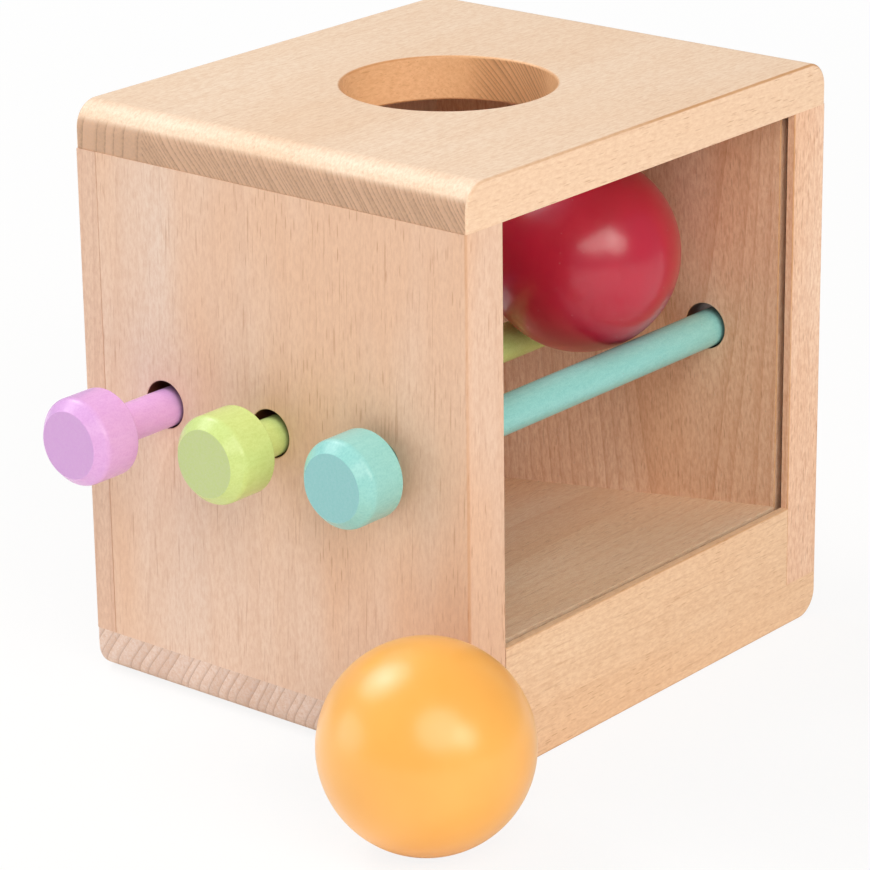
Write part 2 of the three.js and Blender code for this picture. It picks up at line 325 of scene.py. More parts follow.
def beech(
    name,
    grain,
    pith,
    tilt,
    ring,
    colours,
    figure,
    flecking,
    warmer_front=0.0,
    end_from=0.84,
    second=None,
    bored=None,
    drilled=False,
    dash_gap=0.62,
    front_figure=1.0,
    front_blush=0.0,
):
    """Steamed beech, planed, sanded and sealed with a thin satin lacquer.

    Its growth rings run round a pith, so that faint long bands on the faces meet clear lines on the
    end grain. Thin dark dashes, where the rays are cut, lie along the grain, most on the front and
    back faces, with a few longer hairlines, and the eased edges are rubbed a little darker. Figure
    and flecking say how strong the rings and the dashes are, and warmer_front how many more dashes
    the board has towards the front and how much warmer it is there, which is painted warm bounce
    light. End grain starts where the face is turned to the grain by end_from, as a cosine. A board
    glued up from two staves gives the second as the plane in Y where it starts, its pith and its ring
    width. Inside a wide upright bore, given as its middle and radius, the wood is painted warmer and
    a little darker, as painted warm shade, and its end grain darkens less, as painted light. A
    drilled board's rod holes are darkened inside with painted shade. The dashes are drawn as coarse
    as dash_gap, in millimetres across the grain. front_figure is the share of the figure that the
    front and back faces have, and front_blush how much warmer they are, which is painted warm light.
    """
    pale, blush, line, fleck, end, end_line, rubbed = (linear(c) for c in colours)
    mat = new_material(name)
    where = add(mat, "ShaderNodeTexCoord")
    lean = Euler([math.radians(t) for t in tilt]).to_matrix()
    turn = (GRAIN_TURN[grain].to_matrix() @ lean).to_euler()
    log = add(
        mat,
        "ShaderNodeMapping",
        {"Vector": where.outputs["Object"], "Location": pith, "Rotation": turn},
        vector_type="TEXTURE",
    )

    def along_grain(share):
        """The place in the log, with lengths along the grain cut to a share."""
        return add(
            mat, "ShaderNodeVectorMath", {0: log.outputs[0], 1: (1, 1, share)}, operation="MULTIPLY"
        ).outputs[0]

    # Slow waver of the rings, a few millimetres over 45 mm across and 250 mm along
    waver = add(
        mat,
        "ShaderNodeTexNoise",
        {"Vector": along_grain(0.18), "Scale": 1 / (45 * MM), "Detail": 2.0, "Roughness": 0.5},
    )
    swing = add(
        mat,
        "ShaderNodeVectorMath",
        {0: waver.outputs["Color"], 1: (5 * MM, 5 * MM, 0), 2: log.outputs[0]},
        operation="MULTIPLY_ADD",
    )
    place = add(mat, "ShaderNodeSeparateXYZ", {0: where.outputs["Object"]})
    rings_at = swing.outputs[0]
    thinness = line_thinness(ring)
    if second:
        start_y, second_pith, second_ring = second
        wide = second_ring / ring
        other = add(
            mat,
            "ShaderNodeMapping",
            {
                "Vector": where.outputs["Object"],
                "Location": second_pith,
                "Rotation": turn,
                "Scale": (wide, wide, wide),
            },
            vector_type="TEXTURE",
        )
        past = add(mat, "ShaderNodeMath", {0: place.outputs["Y"], 1: start_y}, operation="GREATER_THAN")
        either = add(
            mat,
            "ShaderNodeMix",
            {0: past.outputs[0], 4: swing.outputs[0], 5: other.outputs[0]},
            data_type="VECTOR",
        )
        rings_at = either.outputs[1]
        thin = add(
            mat,
            "ShaderNodeMapRange",
            {"Value": past.outputs[0], "To Min": thinness, "To Max": line_thinness(second_ring)},
        )
        thinness = thin.outputs[0]
    across = add(mat, "ShaderNodeVectorMath", {0: rings_at, 1: (1, 1, 0)}, operation="MULTIPLY")
    radius = add(mat, "ShaderNodeVectorMath", {0: across.outputs[0]}, operation="LENGTH")
    # Good and bad years come in runs of some 7 mm, and make the rings wider and narrower
    growth = add(
        mat,
        "ShaderNodeTexNoise",
        {"W": radius.outputs["Value"], "Scale": 1 / (7 * MM), "Detail": 2.0},
        noise_dimensions="1D",
    )
    spread = add(
        mat,
        "ShaderNodeMath",
        {0: growth.outputs["Fac"], 1: 4 * MM / ring},
        operation="MULTIPLY",
    )
    years = add(
        mat,
        "ShaderNodeMath",
        {0: radius.outputs["Value"], 1: 1 / ring, 2: spread.outputs[0]},
        operation="MULTIPLY_ADD",
    )
    season = add(mat, "ShaderNodeMath", {0: years.outputs[0]}, operation="FRACT")
    late = add(mat, "ShaderNodeMath", {0: season.outputs[0], 1: thinness}, operation="POWER")
    year = add(mat, "ShaderNodeMath", {0: years.outputs[0]}, operation="FLOOR")
    shade = add(mat, "ShaderNodeTexWhiteNoise", {"W": year.outputs[0]}, noise_dimensions="1D")
    # Fibres and pores, up to 0.8 mm wide and a few times as long
    fibre = add(
        mat,
        "ShaderNodeTexNoise",
        {"Vector": along_grain(0.35), "Scale": 1 / (0.8 * MM), "Detail": 3.0, "Roughness": 0.7},
    )
    # Hairlines, 0.2 mm wide and a centimetre long, some way apart
    hair = add(
        mat,
        "ShaderNodeTexNoise",
        {"Vector": along_grain(0.045), "Scale": 1 / (0.75 * MM), "Detail": 1.0, "Roughness": 0.4},
    )
    hairs = add(
        mat,
        "ShaderNodeMapRange",
        {"Value": hair.outputs["Fac"], "From Min": 0.66, "From Max": 0.78, "To Max": 0.35 * flecking},
    )
    # Dashes of cut rays, some 0.25 mm wide and 2.5 mm long, drawn coarser where they would not show
    ray = add(mat, "ShaderNodeTexVoronoi", {"Vector": along_grain(0.1), "Scale": 1 / (dash_gap * MM)})
    dash = add(
        mat,
        "ShaderNodeMapRange",
        {"Value": ray.outputs["Distance"], "From Min": 0.27, "From Max": 0.15, "To Max": flecking},
    )
    lot = add(mat, "ShaderNodeSeparateColor", {0: ray.outputs["Color"]})
    cloud = add(
        mat,
        "ShaderNodeTexNoise",
        {"Vector": along_grain(0.25), "Scale": 1 / (30 * MM), "Detail": 2.0, "Roughness": 0.5},
    )
    crowd = add(
        mat,
        "ShaderNodeMapRange",
        {"Value": cloud.outputs["Fac"], "From Min": 0.35, "From Max": 0.62, "To Min": 0.3},
    )
    forward = add(
        mat,
        "ShaderNodeMapRange",
        {"Value": place.outputs["Y"], "From Min": back_high.y / 2, "From Max": rail_low.y},
    )
    gather = add(
        mat,
        "ShaderNodeMapRange",
        {"Value": forward.outputs[0], "To Min": 1 - 0.8 * warmer_front, "To Max": 1.0},
    )
    lie = add(mat, "ShaderNodeSeparateXYZ", {0: where.outputs["Normal"]})
    frontal = add(mat, "ShaderNodeMath", {0: lie.outputs["Y"]}, operation="ABSOLUTE")
    cut_across = add(
        mat,
        "ShaderNodeMapRange",
        {"Value": frontal.outputs[0], "To Min": 0.6, "To Max": 1.0},
    )
    many = add(mat, "ShaderNodeMath", {0: lot.outputs[0], 1: 0.6}, operation="POWER")
    thick = add(mat, "ShaderNodeMath", {0: many.outputs[0], 1: crowd.outputs[0]}, operation="MULTIPLY")
    gathered = add(
        mat,
        "ShaderNodeMath",
        {0: thick.outputs[0], 1: gather.outputs[0]},
        operation="MULTIPLY",
    )
    faced = add(
        mat,
        "ShaderNodeMath",
        {0: gathered.outputs[0], 1: cut_across.outputs[0]},
        operation="MULTIPLY",
    )
    dashes = add(mat, "ShaderNodeMath", {0: dash.outputs[0], 1: faced.outputs[0]}, operation="MULTIPLY")
    # End grain drinks more finish, so it is darker and its rings stand out
    facing = add(
        mat,
        "ShaderNodeVectorMath",
        {0: where.outputs["Normal"], 1: GRAIN_AXIS[grain]},
        operation="DOT_PRODUCT",
    )
    square_on = add(mat, "ShaderNodeMath", {0: facing.outputs["Value"]}, operation="ABSOLUTE")
    end_share = add(
        mat,
        "ShaderNodeMapRange",
        {"Value": square_on.outputs[0], "From Min": end_from, "From Max": 0.97},
        interpolation_type="SMOOTHSTEP",
    )
    # Eased edges between the front and back faces and their neighbours
    both = add(
        mat,
        "ShaderNodeMath",
        {0: lie.outputs["Y"], 1: lie.outputs[EDGE_ACROSS[grain]]},
        operation="MULTIPLY",
    )
    slant = add(mat, "ShaderNodeMath", {0: both.outputs[0]}, operation="ABSOLUTE")
    rub = add(
        mat,
        "ShaderNodeMapRange",
        {"Value": slant.outputs[0], "From Min": 0.12, "From Max": 0.45, "To Max": 0.75},
    )
    patch = add(
        mat,
        "ShaderNodeMapRange",
        {"Value": cloud.outputs["Fac"], "From Min": 0.3, "From Max": 0.7},
    )
    # Painted warm bounce light towards the front and painted warm light on the front and back faces,
    # over random warm patches
    face_on = add(
        mat,
        "ShaderNodeMath",
        {0: frontal.outputs[0], 1: front_blush, 2: patch.outputs[0]},
        operation="MULTIPLY_ADD",
    )
    warmth = add(
        mat,
        "ShaderNodeMath",
        {0: forward.outputs[0], 1: warmer_front, 2: face_on.outputs[0]},
        operation="MULTIPLY_ADD",
        use_clamp=True,
    )
    calm = add(
        mat,
        "ShaderNodeMapRange",
        {"Value": frontal.outputs[0], "To Min": figure, "To Max": figure * front_figure},
    )
    tone = add(mat, "ShaderNodeMix", {0: warmth.outputs[0], 6: pale, 7: blush}, data_type="RGBA")
    swell = add(mat, "ShaderNodeMath", {0: shade.outputs["Value"], 1: 0.35}, operation="MULTIPLY")
    yearly = add(mat, "ShaderNodeMath", {0: swell.outputs[0], 1: calm.outputs[0]}, operation="MULTIPLY")
    banded = add(
        mat,
        "ShaderNodeMix",
        {0: yearly.outputs[0], 6: tone.outputs[2], 7: line},
        data_type="RGBA",
    )
    end_yearly = add(mat, "ShaderNodeMath", {0: shade.outputs["Value"], 1: 0.3}, operation="MULTIPLY")
    end_tone = add(
        mat,
        "ShaderNodeMix",
        {0: end_yearly.outputs[0], 6: end, 7: end_line},
        data_type="RGBA",
    )
    end_tint = end_share.outputs[0]
    if bored:
        bore_middle, bore_radius = bored
        level = add(mat, "ShaderNodeCombineXYZ", {0: place.outputs["X"], 1: place.outputs["Y"]})
        reach = add(
            mat,
            "ShaderNodeVectorMath",
            {0: level.outputs[0], 1: bore_middle},
            operation="DISTANCE",
        )
        in_bore = add(
            mat,
            "ShaderNodeMapRange",
            {
                "Value": reach.outputs["Value"],
                "From Min": bore_radius,
                "From Max": bore_radius - 0.5 * MM,
            },
        )
        # Painted light in the bore: its end grain darkens less between its rings
        bore_end_light = add(
            mat,
            "ShaderNodeMapRange",
            {"Value": in_bore.outputs[0], "To Min": 1.0, "To Max": 0.35},
        )
        paler = add(mat, "ShaderNodeMath", {0: end_tint, 1: bore_end_light.outputs[0]}, operation="MULTIPLY")
        end_tint = paler.outputs[0]
    ended = add(
        mat,
        "ShaderNodeMix",
        {0: end_tint, 6: banded.outputs[2], 7: end_tone.outputs[2]},
        data_type="RGBA",
    )
    ring_line = add(
        mat,
        "ShaderNodeMix",
        {0: end_share.outputs[0], 6: line, 7: end_line},
        data_type="RGBA",
    )
    depth = add(
        mat,
        "ShaderNodeMapRange",
        {"Value": end_share.outputs[0], "To Min": calm.outputs[0], "To Max": 0.85},
    )
    line_share = add(
        mat,
        "ShaderNodeMath",
        {0: late.outputs[0], 1: depth.outputs[0]},
        operation="MULTIPLY",
    )
    ringed = add(
        mat,
        "ShaderNodeMix",
        {0: line_share.outputs[0], 6: ended.outputs[2], 7: ring_line.outputs[2]},
        data_type="RGBA",
    )
    fibre_share = add(
        mat,
        "ShaderNodeMapRange",
        {"Value": fibre.outputs["Fac"], "From Min": 0.38, "From Max": 0.64, "To Max": 0.42},
    )
    streaked = add(
        mat,
        "ShaderNodeMix",
        {0: fibre_share.outputs[0], 6: ringed.outputs[2], 7: line},
        data_type="RGBA",
    )
    marks = add(mat, "ShaderNodeMath", {0: hairs.outputs[0], 1: dashes.outputs[0]}, operation="MAXIMUM")
    flecked = add(
        mat, "ShaderNodeMix", {0: marks.outputs[0], 6: streaked.outputs[2], 7: fleck}, data_type="RGBA"
    )
    uneven = add(mat, "ShaderNodeMath", {0: rub.outputs[0], 1: crowd.outputs[0]}, operation="MULTIPLY")
    worn = add(
        mat,
        "ShaderNodeMix",
        {0: uneven.outputs[0], 6: flecked.outputs[2], 7: rubbed},
        data_type="RGBA",
    )
    colour = worn.outputs[2]
    if bored:
        # Painted warm shade on the bore's wall
        bore_shaded = add(
            mat,
            "ShaderNodeMix",
            {0: in_bore.outputs[0], 6: colour, 7: linear(BORE_WARM_SHADE)},
            data_type="RGBA",
            blend_type="MULTIPLY",
        )
        colour = bore_shaded.outputs[2]
    if drilled:
        # Painted shade inside the rod holes
        row = add(
            mat,
            "ShaderNodeMath",
            {0: place.outputs["Y"], 1: rod_pitch / 2, 2: -rod_pitch / 2},
            operation="WRAP",
        )
        upright = add(mat, "ShaderNodeCombineXYZ", {1: row.outputs[0], 2: place.outputs["Z"]})
        reach = add(
            mat,
            "ShaderNodeVectorMath",
            {0: upright.outputs[0], 1: (0, 0, hole_z)},
            operation="DISTANCE",
        )
        inside = add(
            mat,
            "ShaderNodeMath",
            {0: reach.outputs["Value"], 1: HOLE_R + HOLE_EASE / 8},
            operation="LESS_THAN",
        )
        rod_hole_shaded = add(
            mat,
            "ShaderNodeMix",
            {0: inside.outputs[0], 6: colour, 7: linear(ROD_HOLE_SHADE)},
            data_type="RGBA",
            blend_type="MULTIPLY",
        )
        colour = rod_hole_shaded.outputs[2]
    gloss = add(
        mat,
        "ShaderNodeMapRange",
        {"Value": fibre.outputs["Fac"], "To Min": 0.4, "To Max": 0.56},
    )
    relief = add(
        mat, "ShaderNodeBump", {"Height": fibre.outputs["Fac"], "Strength": 0.12, "Distance": 0.05 * MM}
    )
    wood = add(
        mat,
        "ShaderNodeBsdfPrincipled",
        {
            "Base Color": colour,
            "Roughness": gloss.outputs[0],
            "Normal": relief.outputs[0],
            "IOR": 1.5,
        },
    )
    add(mat, "ShaderNodeOutputMaterial", {"Surface": wood.outputs[0]})
    return mat


def paint(name, body_hex, deep_hex, end_hex, rough):
    """Water-based satin paint on turned wood: the grain shows as faint streaks along the piece,
    and the end grain of the flat ends drinks it in, so that they are more matt."""
    body, deep, end = (linear(c) for c in (body_hex, deep_hex, end_hex))
    mat = new_material(name)
    where = add(mat, "ShaderNodeTexCoord")
    thread = add(
        mat, "ShaderNodeVectorMath", {0: where.outputs["Object"], 1: (0.3, 1, 1)}, operation="MULTIPLY"
    )
    streak = add(
        mat,
        "ShaderNodeTexNoise",
        {"Vector": thread.outputs[0], "Scale": 1 / (0.8 * MM), "Detail": 3.0, "Roughness": 0.6},
    )
    pore = add(
        mat,
        "ShaderNodeTexNoise",
        {"Vector": where.outputs["Object"], "Scale": 1 / (0.5 * MM), "Detail": 2.0},
    )
    facing = add(
        mat, "ShaderNodeVectorMath", {0: where.outputs["Normal"], 1: (1, 0, 0)}, operation="DOT_PRODUCT"
    )
    turned_on = add(mat, "ShaderNodeMath", {0: facing.outputs["Value"]}, operation="ABSOLUTE")
    end_share = add(
        mat, "ShaderNodeMapRange", {"Value": turned_on.outputs[0], "From Min": 0.9, "From Max": 0.99}
    )
    rough_wood = add(
        mat, "ShaderNodeMath", {0: streak.outputs["Fac"], 1: pore.outputs["Fac"]}, operation="ADD"
    )
    streak_share = add(
        mat,
        "ShaderNodeMapRange",
        {"Value": rough_wood.outputs[0], "From Min": 0.8, "From Max": 1.3, "To Max": 0.42},
    )
    ended = add(mat, "ShaderNodeMix", {0: end_share.outputs[0], 6: body, 7: end}, data_type="RGBA")
    streaked = add(
        mat,
        "ShaderNodeMix",
        {0: streak_share.outputs[0], 6: ended.outputs[2], 7: deep},
        data_type="RGBA",
    )
    gloss = add(
        mat, "ShaderNodeMapRange", {"Value": end_share.outputs[0], "To Min": rough, "To Max": 0.6}
    )
    relief = add(
        mat,
        "ShaderNodeBump",
        {"Height": rough_wood.outputs[0], "Strength": 0.12, "Distance": 0.06 * MM},
    )
    coat = add(
        mat,
        "ShaderNodeBsdfPrincipled",
        {
            "Base Color": streaked.outputs[2],
            "Roughness": gloss.outputs[0],
            "Normal": relief.outputs[0],
            "IOR": 1.48,
        },
    )
    add(mat, "ShaderNodeOutputMaterial", {"Surface": coat.outputs[0]})
    return mat


def lacquer(name, body_hex, deep_hex, rough, coat, coat_rough):
    """Sprayed lacquer on a turned and sanded wooden ball: an even satin skin with a faint orange peel,
    under a thin clear coat that mirrors the room at the rim."""
    body, deep = linear(body_hex), linear(deep_hex)
    mat = new_material(name)
    where = add(mat, "ShaderNodeTexCoord")
    cloud = add(
        mat,
        "ShaderNodeTexNoise",
        {"Vector": where.outputs["Object"], "Scale": 1 / (14 * MM), "Detail": 3.0},
    )
    peel = add(
        mat,
        "ShaderNodeTexNoise",
        {"Vector": where.outputs["Object"], "Scale": 1 / (1.8 * MM), "Detail": 2.0},
    )
    share = add(
        mat,
        "ShaderNodeMapRange",
        {"Value": cloud.outputs["Fac"], "From Min": 0.4, "From Max": 0.8, "To Max": 0.5},
    )
    colour = add(mat, "ShaderNodeMix", {0: share.outputs[0], 6: body, 7: deep}, data_type="RGBA")
    gloss = add(
        mat,
        "ShaderNodeMapRange",
        {"Value": peel.outputs["Fac"], "To Min": rough - 0.04, "To Max": rough + 0.04},
    )
    relief = add(
        mat, "ShaderNodeBump", {"Height": peel.outputs["Fac"], "Strength": 0.02, "Distance": 0.05 * MM}
    )
    skin = add(
        mat,
        "ShaderNodeBsdfPrincipled",
        {
            "Base Color": colour.outputs[2],
            "Roughness": gloss.outputs[0],
            "Normal": relief.outputs[0],
            "IOR": 1.5,
            "Specular IOR Level": 0.2,
            "Coat Weight": coat,
            "Coat IOR": 1.6,
            "Coat Roughness": coat_rough,
        },
    )
    add(mat, "ShaderNodeOutputMaterial", {"Surface": skin.outputs[0]})
    return mat


def acrylic(name):
    """Clear cast acrylic sheet, polished: a mirror at grazing angles alone, a few grains of dust, and
    sawn edges painted dark brown, as painted shade of the grooves they sit in."""
    mat = new_material(name)
    where = add(mat, "ShaderNodeTexCoord")
    # Grains of dust, about 0.15 mm, a few millimetres apart
    grains = add(
        mat,
        "ShaderNodeTexVoronoi",
        {"Vector": where.outputs["Object"], "Scale": 1 / (3.2 * MM)},
    )
    dust = add(
        mat,
        "ShaderNodeMapRange",
        {"Value": grains.outputs["Distance"], "From Min": 0.05, "From Max": 0.02, "To Max": 0.3},
    )
    rim = add(mat, "ShaderNodeFresnel", {"IOR": 1.49})
    side = add(mat, "ShaderNodeNewGeometry")
    grazing = add(mat, "ShaderNodeMapRange", {"Value": rim.outputs[0], "From Min": 0.1, "To Max": 0.5})
    outer = add(
        mat, "ShaderNodeMapRange", {"Value": side.outputs["Backfacing"], "To Min": 1.0, "To Max": 0.0}
    )
    mirror_share = add(
        mat, "ShaderNodeMath", {0: grazing.outputs[0], 1: outer.outputs[0]}, operation="MULTIPLY"
    )
    clear = add(mat, "ShaderNodeBsdfTransparent", {"Color": linear("#FDFEFE")})
    mirror = add(
        mat,
        "ShaderNodeBsdfPrincipled",
        {"Base Color": linear("#FFFFFF"), "Metallic": 1.0, "Roughness": 0.03},
    )
    grit = add(mat, "ShaderNodeBsdfPrincipled", {"Base Color": linear("#F4F1EC"), "Roughness": 0.9})
    sheet = add(
        mat,
        "ShaderNodeMixShader",
        {0: mirror_share.outputs[0], 1: clear.outputs[0], 2: mirror.outputs[0]},
    )
    dusty = add(
        mat,
        "ShaderNodeMixShader",
        {0: dust.outputs[0], 1: sheet.outputs[0], 2: grit.outputs[0]},
    )
    facing = add(
        mat, "ShaderNodeVectorMath", {0: where.outputs["Normal"], 1: (0, 1, 0)}, operation="DOT_PRODUCT"
    )
    flatness = add(mat, "ShaderNodeMath", {0: facing.outputs["Value"]}, operation="ABSOLUTE")
    edge = add(mat, "ShaderNodeMath", {0: flatness.outputs[0], 1: 0.5}, operation="LESS_THAN")
    # Painted shade: the pane's edges are dark brown, for the grooves they sit in
    groove_shade_edge = add(
        mat,
        "ShaderNodeBsdfPrincipled",
        {"Base Color": linear("#7A4020"), "Roughness": 0.7, "Specular IOR Level": 0.1},
    )
    whole = add(
        mat,
        "ShaderNodeMixShader",
        {0: edge.outputs[0], 1: dusty.outputs[0], 2: groove_shade_edge.outputs[0]},
    )
    add(mat, "ShaderNodeOutputMaterial", {"Surface": whole.outputs[0]})
    return mat


# Beech colours: pale early wood, warm tone (random patches and painted warm light), late wood line,
# fleck, end grain, its rings, rubbed edge
TOP_BEECH = ("#F9E4CC", "#F4D8BB", "#D9B08C", "#BC8B5E", "#CDA88C", "#8E7056", "#BF8548")
WARM_BEECH = ("#F4D7B6", "#EEC7A0", "#D0A27A", "#B27E52", "#DCBB9F", "#A98A6C", "#C68E54")
PINK_BEECH = ("#EBDACC", "#E8C2A4", "#D2A88C", "#B27A56", "#DCBB9F", "#A98A6C", "#BC8A62")
STRIP_BEECH = ("#EACCB4", "#E2BCA2", "#C69A80", "#A87862", "#D0A88C", "#A98068", "#BE8A66")
# The right board is redder, which is painted warm bounce light on its inner face in the box
RED_BEECH = ("#F9DEC6", "#F2CAAA", "#C6885F", "#A66A46", "#DCBB9F", "#A98A6C", "#C68E54")
# The ramp is paler, which is painted light on it inside the box; the pins share it
INNER_BEECH = ("#FBE6CE", "#F8D8B8", "#DEB08A", "#A87852", "#DAB390", "#B08A68", "#CFA070")
BASE_BEECH = ("#F4D7B6", "#EEC7A0", "#D0A27A", "#B27E52", "#EAD6CB", "#B29282", "#C68E54")

beech_top = beech(
    "beech_top",
    grain="x",
    pith=(0, 0.300, -0.100),
    tilt=(0, 0.6, 0),
    ring=1.15 * MM,
    colours=TOP_BEECH,
    figure=0.16,
    flecking=0.65,
    # painted warm light on the front and back faces
    front_blush=0.9,
    second=(0.041, (0, 0.330, 0.170), 4.0 * MM),
    # painted warm shade and lighter end grain inside the entry bore
    bored=((ENTRY_X, ENTRY_Y, 0), ENTRY_R + ENTRY_EASE),
)
beech_bottom = beech(
    "beech_bottom",
    grain="x",
    pith=(0, 0.300, 0.180),
    tilt=(0, -0.6, 0),
    ring=2.9 * MM,
    colours=BASE_BEECH,
    figure=0.2,
    flecking=0.7,
    end_from=0.1,
)
beech_left = beech(
    "beech_left",
    grain="z",
    pith=(-0.025, 0.035, 0),
    tilt=(1.6, 1.2, 0),
    ring=3.2 * MM,
    colours=PINK_BEECH,
    figure=0.2,
    flecking=1.2,
    # painted warm bounce light towards the front, and more dashes there
    warmer_front=0.6,
    # painted shade in the rod holes
    drilled=True,
    dash_gap=0.85,
)
beech_right = beech(
    "beech_right",
    grain="z",
    pith=(0.005, -0.030, 0),
    tilt=(-3.0, 2.4, 0),
    ring=2.0 * MM,
    colours=RED_BEECH,
    figure=0.42,
    flecking=0.8,
    # painted shade in the rod holes
    drilled=True,
    front_figure=0.4,
)
beech_back = beech(
    "beech_back",
    grain="z",
    pith=(0.015, -0.010, 0),
    tilt=(1.0, 0.8, 0),
    ring=2.6 * MM,
    colours=STRIP_BEECH,
    figure=0.3,
    flecking=0.6,
)
beech_rail = beech(
    "beech_rail",
    grain="x",
    pith=(0, 0.010, -0.035),
    tilt=(0, 0.8, 1.0),
    ring=2.4 * MM,
    colours=WARM_BEECH,
    figure=0.25,
    flecking=0.75,
)
beech_ramp = beech(
    "beech_ramp",
    grain="x",
    pith=(0, -0.020, -0.060),
    tilt=(0, 0.5, 1.4),
    ring=2.2 * MM,
    colours=INNER_BEECH,
    figure=0.32,
    flecking=1.0,
)
pin_wood = beech(
    "pin_wood",
    grain="z",
    pith=(0.02, 0.02, 0),
    tilt=(0, 0, 0),
    ring=1.6 * MM,
    colours=INNER_BEECH,
    figure=0.4,
    flecking=0.5,
)
PAINTS = {
    "violet": paint("violet_paint", "#E2B2EC", "#CF94DC", "#D4AADF", 0.25),
    "green": paint("green_paint", "#CFE694", "#B8D173", "#C1D298", 0.25),
    "teal": paint("teal_paint", "#9ADBD8", "#76C2C1", "#92CBCF", 0.25),
}
red_lacquer = lacquer("red_lacquer", "#C01038", "#A80A2D", 0.4, 0.9, 0.23)
orange_lacquer = lacquer("orange_lacquer", "#F9B755", "#F6AC46", 0.36, 0.9, 0.28)
clear_acrylic = acrylic("clear_acrylic")


# Box


def pin_bores(board_node, names):
    """Cutters for the pins that stand in a board."""
    low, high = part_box(board_node)
    cutters = []
    for name in names:
        pin_low, pin_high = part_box(name)
        middle = (pin_low + pin_high) / 2
        z0 = pin_low.z if pin_low.z > low.z else low.z - PAST
        z1 = pin_high.z if pin_high.z < high.z else high.z + PAST
        cutters.append(bore((middle.x, middle.y, z0), "z", PIN_HOLE_R, z1 - z0))
    return cutters


TOP_PINS = [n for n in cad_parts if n.startswith("top_pin")]
BOTTOM_PINS = [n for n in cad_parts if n.startswith("bottom_pin")]


def top_board():
    """The top, with rounded ends, eased long edges, the ball hole, the pane's groove and pin bores."""
    inset = Vector((TOP_INSET, 0, 0))
    shape = plank(top_low + inset, top_high - inset)
    soften(shape, CORNER_R, ROUND_STEPS, lambda m, d: near(m.z, top_high.z) and runs_along(d, "y"))
    soften(
        shape,
        EASE,
        EASE_STEPS,
        lambda m, d: (near(m.y, top_low.y) or near(m.y, top_high.y)) and m.z > top_low.z + EASE,
    )
    thick = top_high.z - top_low.z
    groove = plank(
        (pane_low.x - JOINT_EASE, groove_low_y, top_low.z - PAST),
        (pane_high.x + JOINT_EASE, groove_high_y, top_low.z + GROOVE_DEEP),
    )
    entry = drill((ENTRY_X, ENTRY_Y, top_low.z), "z", ENTRY_R, thick, ENTRY_EASE, WIDE_TURN_STEPS)
    return carve(shape, [entry, groove, *pin_bores("top_board", TOP_PINS)])


def bottom_board():
    """The bottom, which is rounded and eased as the top is, with its pin bores."""
    below = bottom_high.z - EASE
    shape = plank(bottom_low, bottom_high)
    soften(shape, CORNER_R, ROUND_STEPS, lambda m, d: near(m.z, bottom_low.z) and runs_along(d, "y"))
    soften(
        shape,
        EASE,
        EASE_STEPS,
        lambda m, d: (near(m.y, bottom_low.y) or near(m.y, bottom_high.y)) and m.z < below,
    )
    return carve(shape, pin_bores("bottom_board", BOTTOM_PINS))


def side_board(node, side):
    """A side board with eased edges, the pane's groove, its pin bores and the three rod holes."""
    low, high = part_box(node)
    out_x = low.x if side == "left" else high.x
    in_x = high.x if side == "left" else low.x
    shape = plank(low, high)

    def corner(m, d, x, y):
        """Whether an edge stands upright at a corner of the board."""
        return near(m.x, x) and near(m.y, y) and runs_along(d, "z")

    def upper(m, d):
        """Whether an edge is the outer one under the top."""
        return near(m.x, out_x) and near(m.z, high.z) and runs_along(d, "y")

    soften(shape, EASE, EASE_STEPS, lambda m, d: corner(m, d, out_x, low.y))
    soften(shape, SMALL_EASE, SMALL_EASE_STEPS, lambda m, d: corner(m, d, in_x, low.y))
    soften(shape, JOINT_EASE, FINE_STEPS, upper)
    soften(shape, JOINT_EASE, FINE_STEPS, lambda m, d: corner(m, d, out_x, high.y))
    pin_low, pin_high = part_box("rail_pin_" + side)
    middle = (pin_low + pin_high) / 2
    inward = 1 if side == "left" else -1
    groove = [
        (in_x - inward * GROOVE_DEEP, groove_low_y),
        (in_x + inward * PAST, groove_low_y),
        (in_x + inward * PAST, groove_high_y + JOINT_EASE + PAST),
        (in_x - inward * JOINT_EASE, groove_high_y),
        (in_x - inward * GROOVE_DEEP, groove_high_y),
    ]
    pin_x = (pin_low.x, in_x + PAST) if side == "left" else (in_x - PAST, pin_high.x)
    cutters = [
        sawn(groove, "z", pane_low.z, high.z + PAST),
        bore((pin_x[0], middle.y, middle.z), "x", PIN_HOLE_R, pin_x[1] - pin_x[0]),
        *pin_bores(node, [n for n in TOP_PINS + BOTTOM_PINS if "_" + side + "_" in n]),
    ]
    for colour in RODS:
        start = (low.x, rod_places[colour][0], hole_z)
        cutters.append(drill(start, "x", HOLE_R, high.x - low.x, HOLE_EASE, HOLE_STEPS))
    return carve(shape, cutters)


